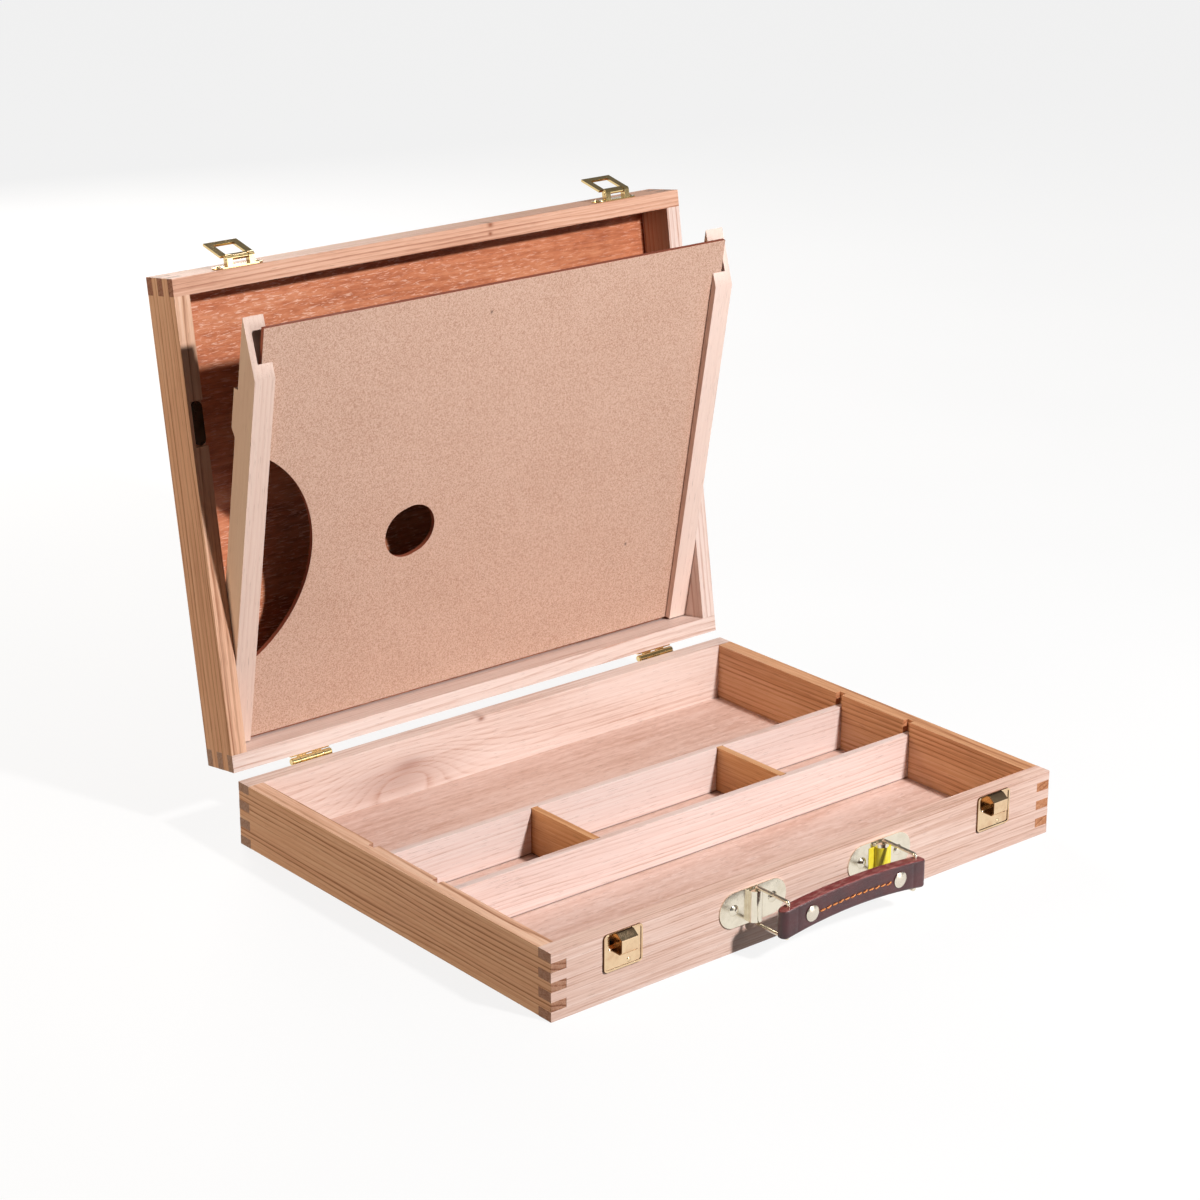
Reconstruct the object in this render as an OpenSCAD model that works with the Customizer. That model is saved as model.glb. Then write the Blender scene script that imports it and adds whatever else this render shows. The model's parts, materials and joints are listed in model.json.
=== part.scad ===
// Wooden art supply box with compartments and a lift-up palette, modelled open.
// Millimetres. Origin: centre of the base underside, +Z up, -Y the handle side.

/* [Box] */
// Outside length of the box along X
box_w = 400; // [340:1:600]
// Outside depth of the box along Y
box_d = 308; // [260:1:450]
// Thickness of the solid wood walls
wall_t = 11; // [9:0.5:16]
// Thickness of the plywood bottom and of the lid panel
panel_t = 3; // [2:0.5:5]
// Width of the plywood edge let into the walls
rebate_w = 5.5; // [3:0.5:8]
// Height of one finger of the corner joints
finger_h = 6; // [5:0.5:10]
// Number of fingers up a corner of the base, an odd number
base_fingers = 7; // [7:2:13]
// Number of fingers up a corner of the lid, an odd number
lid_fingers = 5; // [5:2:11]
// Gap between the base and the shut lid
lid_gap = 0.2; // [0.1:0.1:1]

/* [Dividers] */
// Thickness of the dividers
divider_t = 5; // [3:0.5:8]
// Height of the dividers
divider_h = 30.4; // [15:0.1:38]
// Depth of the wall grooves that hold the long dividers
groove_d = 4; // [2:0.5:6]
// Distance of the rear long divider behind the middle of the box
rear_divider_y = 23.5; // [0:0.5:90]
// Distance of the front long divider in front of the middle of the box
front_divider_y = 39.5; // [20:0.5:90]
// Distance of the left cross divider from the middle of the box
cross_left_x = 71.5; // [30:0.5:150]
// Distance of the right cross divider from the middle of the box
cross_right_x = 81; // [30:0.5:150]
// Depth of the housings that hold the cross dividers
housing_d = 1.5; // [1:0.1:2]
// Side play of a divider in its groove
divider_play = 0.3; // [0.1:0.05:0.6]

/* [Lid and hinges] */
// Angle by which the lid stands open
lid_angle = 98.5; // [0:0.5:98.5]
// Distance of each hinge from the middle of the box
hinge_x = 143; // [60:1:170]
// Width of a hinge
hinge_w = 29; // [20:1:50]
// Height of a hinge leaf
leaf_h = 15; // [8:1:25]
// Radius of a hinge pin
hinge_pin_r = 1.2; // [0.8:0.1:2]
// Radial play of every pin in its bore
pin_play = 0.05; // [0.01:0.01:0.1]

/* [Rails and palette] */
// Angle by which the rails tilt out of the open lid
rail_tilt = 18.5; // [0:0.5:18.5]
// Length of a rail
rail_len = 283.1; // [200:0.1:400]
// Width of a rail across the box
rail_w = 14.5; // [12:0.5:20]
// Depth of a rail
rail_d = 17; // [14:0.5:19]
// Thickness of the hardboard palette
palette_t = 3; // [2:0.5:5]
// Length of the palette across the box
palette_w = 363; // [300:1:560]
// Height of the palette along the rails
palette_h = 280.2; // [180:0.1:400]

/* [Fittings] */
// Distance of each catch and hasp from the middle of the box
catch_x = 149; // [100:1:175]
// Angle by which a hasp loop is swung up from its shut position
hasp_angle = 158.5; // [0:0.5:158.5]
// Distance of each handle plate from the middle of the box
handle_x = 51; // [35:1:80]
// Height of the middle of the handle plates above the floor
handle_z = 27.2; // [26:0.1:28]
// Diameter of the wire of the handle rings
ring_d = 2.2; // [1.5:0.1:4]
// Reach of a handle ring from its hinge to the handle
ring_reach = 26.5; // [20:0.5:40]

/* [Hidden] */
$fn = 64;
base_h = base_fingers * finger_h;
lid_top = base_h + lid_fingers * finger_h;
lid_bottom = base_h + lid_gap;
in_x = box_w / 2 - wall_t;
in_y = box_d / 2 - wall_t;
front_y = -box_d / 2;
rear_y = box_d / 2;
sides = [-1, 1];

// dividers
divider_z = panel_t + 0.1;
divider_len = 2 * (in_x + groove_d - 0.3);
groove_w = divider_t + 2 * divider_play;
cross_len = rear_divider_y + front_divider_y - divider_t + 2 * (housing_d - divider_play);
cross_mid_y = (rear_divider_y - front_divider_y) / 2;

// rear hinges
hinge_y = rear_y + 3.8;
hinge_z = base_h + lid_gap / 2;
leaf_t = 1;
barrel_r = 2.3;
knuckle_gap = 0.2;
knuckle_w = hinge_w / 5;
leaf_screw_x = 9.5;
leaf_screw_z = 8.5;

// rails, in the shut lid
rail_front_z = lid_bottom + 5;
rail_out_x = in_x - 0.3;
rail_in_x = rail_out_x - rail_w;
rail_lip = 4.3;
rail_web = 4.2;
rail_back_lip = 4;
rail_end_y = in_y - 1.3;
pivot_y = in_y - 42.6;
pivot_z = rail_front_z + 8.5;
pivot_r = 1.75;
palette_z = rail_front_z + rail_lip + 0.3;
palette_end_y = in_y - 0.8;

// turn buttons, in the shut lid
button_x = in_x + 4.5;
button_y = -75;
button_w = 7.5;
button_len = 27;
button_t = 1.5;
button_z = lid_bottom + 0.6;
button_screw_r = 1.5;
recess_h = button_z + button_t + 0.3 - lid_bottom;

// catches and hasps
catch_w = 28;
catch_low = 18.2;
catch_high = base_h - 0.6;
catch_t = 0.8;
catch_rim_w = 1.2;
catch_corner_r = 2.4;
catch_rim_t = 0.5;
nose_w = 12;
nose_low = 28.5;
hasp_y = front_y - 6;
hasp_z = base_h + 4;
hasp_pin_r = 0.8;
hasp_plate_t = 1;
hasp_plate_w = 35;
hasp_plate_h = 10;
hasp_plate_mid = hasp_z + 3;
ear_x = 8;
ear_w = 4;
ear_r = 2.1;
loop_w = 24;
loop_h = 22;
loop_t = 1.6;
window_w = 14.4;
window_near = 4;
window_far = 18;

// handle
plate_w = 51.7;
plate_h = 22.4;
plate_t = 0.8;
channel_r = 4.5;
channel_y = front_y - 2;
channel_h = 19.8;
ring_y = front_y - 3.5;
ring_half_h = 11.5;
ring_bend_r = ring_d / 2 + 0.15;
grip_y = ring_y - ring_reach;
grip_end_x = handle_x + 6.5;
grip_r = 4;
grip_low = handle_z - 9.8;
grip_under_z = handle_z - 5.2;
grip_under_rise = 4.4;
grip_top_z = handle_z + 11.7;
grip_top_rise = 3;
grip_bend_x = 54;
grip_bore_play = 0.1;
grip_rivet_x = 35.3;
grip_rivet_z = handle_z + 1.2;
grip_rivet_head_r = 5;
rivet_x = 15;

// wood screws, nails and rivets
screw_r = 1;
screw_len = 7;
nail_r = 0.7;
nail_len = 6;
nail_head_r = 1.5;
nail_head_h = 0.5;
rivet_r = 1.5;
rivet_len = 8;

wood = [0.86, 0.68, 0.53];
pale_wood = [0.93, 0.82, 0.66];
ply = [0.82, 0.56, 0.42];
board = [0.76, 0.6, 0.46];
brass = [0.83, 0.68, 0.35];
nickel = [0.8, 0.77, 0.68];
bronze = [0.25, 0.2, 0.15];
leather = [0.33, 0.12, 0.12];
label = [0.93, 0.9, 0.3];

// A block between two opposite corners
module block(low, high) {
    translate(low)
        cube(high - low);
}

// A flat shape with half-round ends, centred, lying along X
module stadium(w, h) {
    square([w - h, h], center = true);
    for (side = sides)
        translate([side * (w - h) / 2, 0])
            circle(d = h);
}

// A flat outline with four equal round corners
module rounded_rect(w, h, r) {
    square([w - 2 * r, h], center = true);
    square([w, h - 2 * r], center = true);
    for (i = sides, j = sides)
        translate([i * (w / 2 - r), j * (h / 2 - r)])
            circle(r = r);
}

// A pin with a domed head, the head above z = 0 and the shank below
module domed_pin(head_r, head_h, shank_r, shank_len) {
    dome_r = (head_r * head_r + head_h * head_h) / (2 * head_h);
    rotate_extrude()
        intersection() {
            translate([0, head_h - dome_r])
                circle(r = dome_r);
            square([head_r + 1, head_h + 1]);
        }
    translate([0, 0, -shank_len])
        cylinder(r = shank_r, h = shank_len);
}

// Sets children drawn upright on z = 0 against the front face, facing the viewer at -Y
module on_front(x, y, z) {
    translate([x, y, z])
        rotate([90, 0, 0])
            children();
}

// Swings the shut lid open
module lid_pose() {
    translate([0, hinge_y, hinge_z])
        rotate([-lid_angle, 0, 0])
            translate([0, -hinge_y, -hinge_z])
                children();
}

// Tilts the folded rails and the palette out of the open lid
module rail_pose() {
    lid_pose()
        translate([0, pivot_y, pivot_z])
            rotate([rail_tilt, 0, 0])
                translate([0, -pivot_y, -pivot_z])
                    children();
}

// Swings a shut hasp loop up on the open lid
module hasp_pose() {
    lid_pose()
        translate([0, hasp_y, hasp_z])
            rotate([-hasp_angle, 0, 0])
                translate([0, -hasp_y, -hasp_z])
                    children();
}

// A front or rear wall, its outer face on y = 0, with its fingers at both ends
module long_wall(low, high, first, fingers) {
    block([-in_x, 0, low], [in_x, wall_t, high]);
    for (i = [0:2:fingers - 1])
        block([-box_w / 2, 0, max(low, first + i * finger_h)],
              [box_w / 2, wall_t, first + (i + 1) * finger_h]);
}

// A side wall, its outer face on x = 0, with its fingers at both ends
module side_wall(low, high, first, fingers) {
    block([0, -in_y, low], [wall_t, in_y, high]);
    for (i = [1:2:fingers - 2])
        block([0, -box_d / 2, first + i * finger_h],
              [wall_t, box_d / 2, first + (i + 1) * finger_h]);
}

// The plywood sheet with its underside at a given height
module plywood(z) {
    block([-in_x - rebate_w, -in_y - rebate_w, z],
          [in_x + rebate_w, in_y + rebate_w, z + panel_t]);
}

// Positions of the screws of both hinges along X
function leaf_screws() = [for (s = sides, t = sides) s * hinge_x + t * leaf_screw_x];

// The nails of one catch plate, as [x, z] from the catch middle and the floor
catch_nail_at = [[-9.6, 31], [4, 21.6]];

module catch_nail_holes() {
    for (s = sides, p = catch_nail_at)
        on_front(s * catch_x + p[0], front_y + nail_len - catch_t, p[1])
            cylinder(r = nail_r, h = nail_len);
}

module plate_rivet_holes() {
    for (s = sides, t = sides)
        on_front(s * handle_x + t * rivet_x, front_y + rivet_len - plate_t, handle_z)
            cylinder(r = rivet_r, h = rivet_len);
}

module base_front_wall() {
    color(wood)
        difference() {
            translate([0, front_y, 0])
                long_wall(0, base_h, 0, base_fingers);
            plywood(0);
            catch_nail_holes();
            plate_rivet_holes();
        }
}

module base_rear_wall() {
    color(wood)
        difference() {
            translate([0, rear_y - wall_t, 0])
                long_wall(0, base_h, 0, base_fingers);
            plywood(0);
            for (x = leaf_screws())
                translate([x, rear_y, hinge_z - leaf_screw_z])
                    rotate([90, 0, 0])
                        cylinder(r = screw_r, h = screw_len - leaf_t);
        }
}

// A side wall of the base with the open-topped grooves for the long dividers
module base_side_wall() {
    difference() {
        translate([-box_w / 2, 0, 0])
            side_wall(0, base_h, 0, base_fingers);
        plywood(0);
        for (y = [rear_divider_y, -front_divider_y])
            block([-in_x - groove_d, y - groove_w / 2, panel_t],
                  [-in_x + 1, y + groove_w / 2, base_h + 1]);
    }
}

module base_left_wall() {
    color(wood)
        base_side_wall();
}

module base_right_wall() {
    color(wood)
        mirror([1, 0, 0])
            base_side_wall();
}

module base_bottom_panel() {
    color(ply)
        plywood(0);
}

// A long divider whose housings are cut into one face, face = -1 front or 1 rear
module long_divider(y, face) {
    housing_y = y + face * (divider_t / 2 - housing_d / 2 + 0.5);
    difference() {
        block([-divider_len / 2, y - divider_t / 2, divider_z],
              [divider_len / 2, y + divider_t / 2, divider_z + divider_h]);
        for (x = [-cross_left_x, cross_right_x])
            block([x - groove_w / 2, housing_y - housing_d / 2 - 0.5, 0],
                  [x + groove_w / 2, housing_y + housing_d / 2 + 0.5, base_h]);
    }
}

module divider_rear() {
    color(pale_wood)
        long_divider(rear_divider_y, -1);
}

module divider_front() {
    color(pale_wood)
        long_divider(-front_divider_y, 1);
}

// A short divider that drops into the housings of the two long ones
module cross_divider(x) {
    block([x - divider_t / 2, cross_mid_y - cross_len / 2, divider_z],
          [x + divider_t / 2, cross_mid_y + cross_len / 2, divider_z + divider_h]);
}

module divider_cross_left() {
    color(pale_wood)
        cross_divider(-cross_left_x);
}

module divider_cross_right() {
    color(pale_wood)
        cross_divider(cross_right_x);
}

// A brass catch plate with a raised rim, left open at the top for the nose
module catch_plate(x) {
    mid_z = (catch_low + catch_high) / 2;
    tall = catch_high - catch_low;
    difference() {
        on_front(x, front_y, mid_z)
            linear_extrude(height = catch_t + catch_rim_t)
                rounded_rect(catch_w, tall, catch_corner_r);
        on_front(x, front_y - catch_t, mid_z)
            linear_extrude(height = 1)
                rounded_rect(catch_w - 2 * catch_rim_w, tall - 2 * catch_rim_w,
                             catch_corner_r - catch_rim_w);
        block([x - nose_w / 2 - 0.1, front_y - catch_t - 1, nose_low],
              [x + nose_w / 2 + 0.1, front_y - catch_t, catch_high + 1]);
        catch_nail_holes();
    }
}

module catch_plate_left() {
    color(brass)
        catch_plate(-catch_x);
}

module catch_plate_right() {
    color(brass)
        catch_plate(catch_x);
}

// The bent spring strip that the hasp loop snaps over, as [y, z] outlines from the plate
nose_outline = [[0, 0], [4.2, 0], [6.2, 2], [6.2, 9.5], [2, 12.7], [0, 12.7]];
nose_hollow = [[-1, 0.8], [3.9, 0.8], [5.4, 2.3], [5.4, 9.1], [1.7, 11.9], [-1, 11.9]];

module catch_nose(x) {
    translate([x - nose_w / 2, front_y - catch_t, nose_low])
        rotate([0, 0, 180])
            rotate([90, 0, 90])
                translate([0, 0, -nose_w])
                    linear_extrude(height = nose_w)
                        difference() {
                            polygon(nose_outline);
                            polygon(nose_hollow);
                        }
}

module catch_nose_left() {
    color(brass)
        catch_nose(-catch_x);
}

module catch_nose_right() {
    color(brass)
        catch_nose(catch_x);
}

module catch_nails() {
    color(brass)
        for (s = sides, p = catch_nail_at)
            on_front(s * catch_x + p[0], front_y - catch_t, p[1])
                domed_pin(nail_head_r, nail_head_h, nail_r, nail_len);
}

// A stadium-shaped handle plate with a half-round channel for the ring
module handle_plate(x) {
    difference() {
        union() {
            on_front(x, front_y, handle_z)
                linear_extrude(height = plate_t)
                    stadium(plate_w, plate_h);
            block([x - channel_r, channel_y, handle_z - channel_h / 2],
                  [x + channel_r, front_y - plate_t / 2, handle_z + channel_h / 2]);
            translate([x, channel_y, handle_z - channel_h / 2])
                cylinder(r = channel_r, h = channel_h);
        }
        block([x - plate_w, front_y, 0], [x + plate_w, front_y + wall_t, base_h]);
        translate([x, ring_y, 0])
            cylinder(r = ring_d / 2 + pin_play, h = base_h);
        plate_rivet_holes();
    }
}

module handle_plate_left() {
    color(nickel)
        handle_plate(-handle_x);
}

module handle_plate_right() {
    color(nickel)
        handle_plate(handle_x);
}

module handle_plate_rivets() {
    color(nickel)
        for (s = sides, t = sides)
            on_front(s * handle_x + t * rivet_x, front_y - plate_t, handle_z)
                domed_pin(3.5, 1.6, rivet_r, rivet_len);
}

// A paper label folded over the channel of the right handle plate
label_w = 18.6;
label_h = 15;
label_t = 0.2;

module paper_label() {
    color(label)
        translate([handle_x, 0, handle_z - label_h / 2])
            linear_extrude(height = label_h)
                difference() {
                    union() {
                        translate([-label_w / 2, front_y - plate_t - label_t])
                            square([label_w, label_t]);
                        translate([-channel_r - label_t, channel_y])
                            square([2 * (channel_r + label_t), channel_r]);
                        translate([0, channel_y])
                            circle(r = channel_r + label_t);
                    }
                    translate([-channel_r, channel_y])
                        square([2 * channel_r, 3 * channel_r]);
                    translate([0, channel_y])
                        circle(r = channel_r);
                    translate([-label_w, front_y - plate_t])
                        square([2 * label_w, 3 * channel_r]);
                }
}

// A quarter of a handle ring: half of two bars and the bend between them
module ring_quarter() {
    translate([0, ring_reach / 2, 0])
        cylinder(d = ring_d, h = ring_half_h - ring_bend_r);
    translate([0, 0, ring_half_h])
        rotate([-90, 0, 0])
            cylinder(d = ring_d, h = ring_reach / 2 - ring_bend_r);
    translate([0, ring_reach / 2 - ring_bend_r, ring_half_h - ring_bend_r])
        rotate([90, 0, 90])
            rotate_extrude(angle = 90)
                translate([ring_bend_r, 0])
                    circle(d = ring_d);
}

// A closed rectangular ring of wire, its hinge bar in the channel of a handle plate
module handle_ring(x) {
    translate([x, (ring_y + grip_y) / 2, handle_z])
        for (turn = [[0, 0, 0], [180, 0, 0], [0, 180, 0], [0, 0, 180]])
            rotate(turn)
                ring_quarter();
}

module handle_ring_left() {
    color(nickel)
        handle_ring(-handle_x);
}

module handle_ring_right() {
    color(nickel)
        handle_ring(handle_x);
}

// The radius of an arc that drops by rise over a distance half_w from its top
function arc_radius(half_w, rise) = (half_w * half_w + rise * rise) / (2 * rise);

// A round bar along Y with its top at a given height, as thick as the grip
module grip_arc(top_z, r) {
    translate([0, grip_y + grip_r + 1, top_z - r])
        rotate([90, 0, 0])
            cylinder(r = r, h = 2 * grip_r + 2, $fn = 256);
}

// The leather grip, bowed upwards in the middle, pierced for the rings and its rivets
module handle_strap() {
    color(leather)
        difference() {
            intersection() {
                translate([0, grip_y, grip_low])
                    linear_extrude(height = grip_top_z - grip_low)
                        stadium(2 * grip_end_x, 2 * grip_r);
                grip_arc(grip_top_z, arc_radius(grip_bend_x, grip_top_rise));
            }
            grip_arc(grip_under_z, arc_radius(grip_bend_x, grip_under_rise));
            translate([-handle_x, grip_y, 0])
                cylinder(r = ring_d / 2 + pin_play, h = base_h);
            translate([handle_x, grip_y, 0])
                cylinder(r = ring_d / 2 + pin_play + grip_bore_play, h = base_h);
            for (s = sides)
                on_front(s * grip_rivet_x, grip_y + grip_r + 1, grip_rivet_z)
                    cylinder(r = rivet_r, h = 2 * grip_r + 2);
        }
}

// The rivets of the grip, domed on the outside and flat on the inside
module handle_rivets() {
    color(nickel)
        for (s = sides) {
            on_front(s * grip_rivet_x, grip_y - grip_r, grip_rivet_z)
                domed_pin(grip_rivet_head_r, 1.2, rivet_r, 2 * grip_r);
            translate([s * grip_rivet_x, grip_y + grip_r, grip_rivet_z])
                rotate([-90, 0, 0])
                    cylinder(r = 3.5, h = 0.5);
        }
}

// The knuckles of a hinge leaf lying below (up = -1) or above (up = 1) the hinge axis
module hinge_leaf(x, up, first) {
    face_y = rear_y;
    near_z = hinge_z + up * 0.3;
    far_z = hinge_z + up * leaf_h;
    block_z = hinge_z + up * 3.3;
    difference() {
        union() {
            block([x - hinge_w / 2, face_y, min(near_z, far_z)],
                  [x + hinge_w / 2, face_y + leaf_t, max(near_z, far_z)]);
            for (i = [first:2:4]) {
                left = x - hinge_w / 2 + i * knuckle_w + knuckle_gap / 2;
                right = left + knuckle_w - knuckle_gap;
                block([left, face_y, min(near_z, block_z)],
                      [right, hinge_y, max(near_z, block_z)]);
                translate([left, hinge_y, hinge_z])
                    rotate([0, 90, 0])
                        cylinder(r = barrel_r, h = right - left);
            }
        }
        translate([x - hinge_w, hinge_y, hinge_z])
            rotate([0, 90, 0])
                cylinder(r = hinge_pin_r + pin_play, h = 2 * hinge_w);
        for (t = sides)
            translate([x + t * leaf_screw_x, face_y + leaf_t + 1, hinge_z + up * leaf_screw_z])
                rotate([90, 0, 0])
                    cylinder(r = screw_r, h = leaf_t + 2);
    }
}

module hinge_base_leaf_left() {
    color(brass)
        hinge_leaf(-hinge_x, -1, 0);
}

module hinge_base_leaf_right() {
    color(brass)
        hinge_leaf(hinge_x, -1, 0);
}

module hinge_lid_leaf_left() {
    color(brass)
        lid_pose()
            hinge_leaf(-hinge_x, 1, 1);
}

module hinge_lid_leaf_right() {
    color(brass)
        lid_pose()
            hinge_leaf(hinge_x, 1, 1);
}

// A pin along X with a thin head at both ends
module headed_pin(x, y, z, r, len, head_r, head_h) {
    translate([x - len / 2, y, z])
        rotate([0, 90, 0])
            cylinder(r = r, h = len);
    for (at = [x - len / 2 - head_h, x + len / 2])
        translate([at, y, z])
            rotate([0, 90, 0])
                cylinder(r = head_r, h = head_h);
}

module hinge_pin_left() {
    color(brass)
        headed_pin(-hinge_x, hinge_y, hinge_z, hinge_pin_r, hinge_w - knuckle_gap, 1.9, 0.7);
}

module hinge_pin_right() {
    color(brass)
        headed_pin(hinge_x, hinge_y, hinge_z, hinge_pin_r, hinge_w - knuckle_gap, 1.9, 0.7);
}

// The screws of the leaves below (up = -1) or above (up = 1) the hinge axis
module leaf_screw_set(up) {
    for (x = leaf_screws())
        translate([x, rear_y + leaf_t, hinge_z + up * leaf_screw_z])
            rotate([-90, 0, 0])
                domed_pin(2, 0.9, screw_r, screw_len);
}

module hinge_base_screws() {
    color(brass)
        leaf_screw_set(-1);
}

module hinge_lid_screws() {
    color(brass)
        lid_pose()
            leaf_screw_set(1);
}

// The nails of one hasp plate along X, from the catch middle
hasp_nail_x = 14;

module hasp_nail_holes() {
    for (s = sides, t = sides)
        on_front(s * catch_x + t * hasp_nail_x, front_y + nail_len - hasp_plate_t, hasp_plate_mid)
            cylinder(r = nail_r, h = nail_len);
}

module lid_front_wall() {
    color(wood)
        lid_pose()
            difference() {
                translate([0, front_y, 0])
                    long_wall(lid_bottom, lid_top, base_h, lid_fingers);
                plywood(lid_top - panel_t);
                hasp_nail_holes();
            }
}

module lid_rear_wall() {
    color(wood)
        lid_pose()
            difference() {
                translate([0, rear_y - wall_t, 0])
                    long_wall(lid_bottom, lid_top, base_h, lid_fingers);
                plywood(lid_top - panel_t);
                for (x = leaf_screws())
                    translate([x, rear_y, hinge_z + leaf_screw_z])
                        rotate([90, 0, 0])
                            cylinder(r = screw_r, h = screw_len - leaf_t);
            }
}

// A side wall of the lid, bored for the rail pivot and cut out for the turn button
module lid_side_wall() {
    difference() {
        translate([-box_w / 2, 0, 0])
            side_wall(lid_bottom, lid_top, base_h, lid_fingers);
        plywood(lid_top - panel_t);
        translate([-in_x - 7, pivot_y, pivot_z])
            rotate([0, 90, 0])
                cylinder(r = pivot_r, h = wall_t);
        block([-in_x - 8.6, button_y - button_w / 2 - 0.45, lid_bottom - 1],
              [-in_x + 1, button_y + button_len - button_w / 2 + 0.75, lid_bottom + recess_h]);
        translate([-button_x, button_y, lid_bottom])
            cylinder(r = button_screw_r, h = 8);
    }
}

module lid_left_wall() {
    color(wood)
        lid_pose()
            lid_side_wall();
}

module lid_right_wall() {
    color(wood)
        lid_pose()
            mirror([1, 0, 0])
                lid_side_wall();
}

module lid_panel() {
    color(ply)
        lid_pose()
            plywood(lid_top - panel_t);
}

// A hasp base plate with two ears that carry the hasp pin
module hasp_plate(x) {
    difference() {
        union() {
            on_front(x, front_y, hasp_plate_mid)
                linear_extrude(height = hasp_plate_t)
                    stadium(hasp_plate_w, hasp_plate_h);
            for (s = sides)
                translate([x + s * ear_x - ear_w / 2, 0, 0]) {
                    block([0, hasp_y, hasp_z - ear_r], [ear_w, front_y - hasp_plate_t / 2, hasp_z + ear_r]);
                    translate([0, hasp_y, hasp_z])
                        rotate([0, 90, 0])
                            cylinder(r = ear_r, h = ear_w);
                }
        }
        translate([x - hasp_plate_w / 2, hasp_y, hasp_z])
            rotate([0, 90, 0])
                cylinder(r = hasp_pin_r + pin_play, h = hasp_plate_w);
        hasp_nail_holes();
    }
}

module hasp_plate_left() {
    color(brass)
        lid_pose()
            hasp_plate(-catch_x);
}

module hasp_plate_right() {
    color(brass)
        lid_pose()
            hasp_plate(catch_x);
}

module hasp_pin_left() {
    color(brass)
        lid_pose()
            headed_pin(-catch_x, hasp_y, hasp_z, hasp_pin_r, 2 * ear_x + ear_w, 1.3, 0.4);
}

module hasp_pin_right() {
    color(brass)
        lid_pose()
            headed_pin(catch_x, hasp_y, hasp_z, hasp_pin_r, 2 * ear_x + ear_w, 1.3, 0.4);
}

module hasp_nails() {
    color(brass)
        lid_pose()
            for (s = sides, t = sides)
                on_front(s * catch_x + t * hasp_nail_x, front_y - hasp_plate_t, hasp_plate_mid)
                    domed_pin(1.8, 0.8, nail_r, nail_len);
}

// A hasp loop hanging from its pin: a flat frame with a window for the catch nose
module hasp_loop(x) {
    knuckle_half = ear_x - ear_w / 2 - 0.3;
    difference() {
        union() {
            translate([x - knuckle_half, hasp_y, hasp_z])
                rotate([0, 90, 0])
                    cylinder(r = loop_t, h = 2 * knuckle_half);
            block([x - knuckle_half, hasp_y - loop_t / 2, hasp_z - window_near],
                  [x + knuckle_half, hasp_y + loop_t / 2, hasp_z]);
            difference() {
                block([x - loop_w / 2, hasp_y - loop_t / 2, hasp_z - loop_h],
                      [x + loop_w / 2, hasp_y + loop_t / 2, hasp_z - ear_r - 0.5]);
                block([x - window_w / 2, hasp_y - loop_t, hasp_z - window_far],
                      [x + window_w / 2, hasp_y + loop_t, hasp_z - window_near]);
            }
        }
        translate([x - loop_w, hasp_y, hasp_z])
            rotate([0, 90, 0])
                cylinder(r = hasp_pin_r + pin_play, h = 2 * loop_w);
    }
}

module hasp_loop_left() {
    color(brass)
        hasp_pose()
            hasp_loop(-catch_x);
}

module hasp_loop_right() {
    color(brass)
        hasp_pose()
            hasp_loop(catch_x);
}

// The side view of a rail in the shut lid, as [y, z]
rail_outline = [
    [rail_end_y, rail_front_z],
    [rail_end_y, rail_front_z + 8.2],
    [rail_end_y - 25.7, rail_front_z + rail_d],
    [in_y - 207, rail_front_z + rail_d],
    [in_y - 212, rail_front_z + rail_d + 4.1],
    [in_y - 238, rail_front_z + rail_d + 4.1],
    [in_y - 238, rail_front_z + rail_d],
    [rail_end_y - rail_len, rail_front_z + rail_d],
    [rail_end_y - rail_len + 34.4, rail_front_z]
];

// A grooved wooden rail that carries one edge of the palette
module rail() {
    difference() {
        translate([-rail_out_x, 0, 0])
            rotate([90, 0, 90])
                linear_extrude(height = rail_w)
                    polygon(rail_outline);
        block([-rail_out_x + rail_web, -in_y, rail_front_z + rail_lip],
              [-rail_in_x + 1, in_y, rail_front_z + rail_d - rail_back_lip]);
        translate([-rail_out_x - 1, pivot_y, pivot_z])
            rotate([0, 90, 0])
                cylinder(r = pivot_r + pin_play, h = rail_web + 2);
    }
}

module rail_left() {
    color(pale_wood)
        rail_pose()
            rail();
}

module rail_right() {
    color(pale_wood)
        rail_pose()
            mirror([1, 0, 0])
                rail();
}

// The two screws on which the rails turn, their heads inside the rail grooves
module rail_pivot_screws() {
    head_h = 1.8;
    head_x = rail_out_x - rail_web - 0.2;
    color(brass)
        lid_pose()
            for (s = sides)
                translate([s * head_x, pivot_y, pivot_z])
                    rotate([0, s * 90, 0]) {
                        translate([0, 0, -head_h])
                            cylinder(r = 3.2, h = head_h);
                        cylinder(r = pivot_r, h = in_x + 7 - head_x);
                    }
}

// A turn button that swings over the front of a folded rail
module turn_button() {
    difference() {
        translate([-button_x, button_y + (button_len - button_w) / 2, button_z])
            rotate([0, 0, 90])
                linear_extrude(height = button_t)
                    stadium(button_len, button_w);
        translate([-button_x, button_y, 0])
            cylinder(r = button_screw_r + pin_play, h = lid_top);
    }
}

module turn_button_left() {
    color(bronze)
        lid_pose()
            turn_button();
}

module turn_button_right() {
    color(bronze)
        lid_pose()
            mirror([1, 0, 0])
                turn_button();
}

module turn_button_screws() {
    color(bronze)
        lid_pose()
            for (s = sides)
                translate([s * button_x, button_y, 0]) {
                    translate([0, 0, lid_bottom + 0.1])
                        cylinder(r = 2.7, h = 0.45);
                    translate([0, 0, lid_bottom + 0.1])
                        cylinder(r = button_screw_r, h = 7.9);
                }
}

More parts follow.
